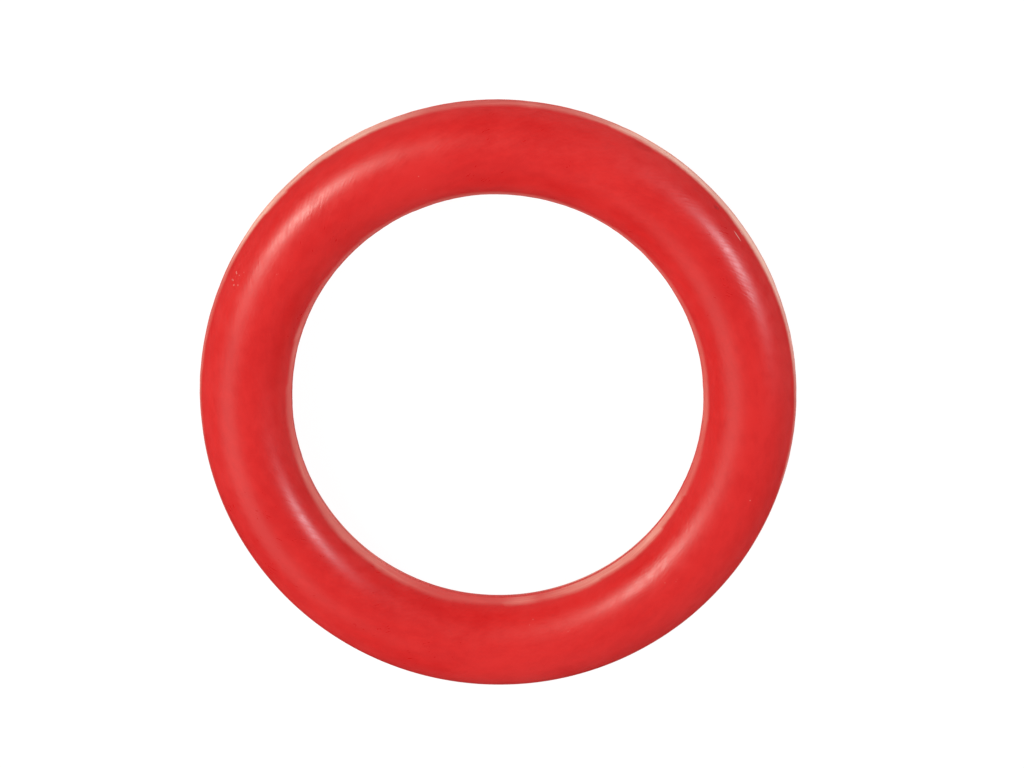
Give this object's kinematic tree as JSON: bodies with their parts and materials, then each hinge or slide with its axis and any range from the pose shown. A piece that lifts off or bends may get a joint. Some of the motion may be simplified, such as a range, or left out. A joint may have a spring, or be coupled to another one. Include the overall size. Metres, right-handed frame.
{
  "type": "flying ring",
  "caption": "Round hollow rubber throwing ring of cemented half shells, with an open centre to catch it by or to drop over a peg.",
  "frame": {"origin": "centre of the ring, halfway up the tube", "axes": "+Z along the ring's own axis, square to the plane it lies in; +Y towards the inflation plug"},
  "size_m": [0.165, 0.165, 0.0254],
  "materials": {
    "red_rubber": "satin, moulded",
    "rubber_cement": "matte, buffed nearly flush",
    "gum_rubber": "soft, unpigmented"
  },
  "bodies": {
    "root": {"upper_half_shell": "red_rubber", "lower_half_shell": "red_rubber", "outer_seam_cement": "rubber_cement", "inner_seam_cement": "rubber_cement", "inflation_plug": "gum_rubber"}
  },
  "joints": []
}
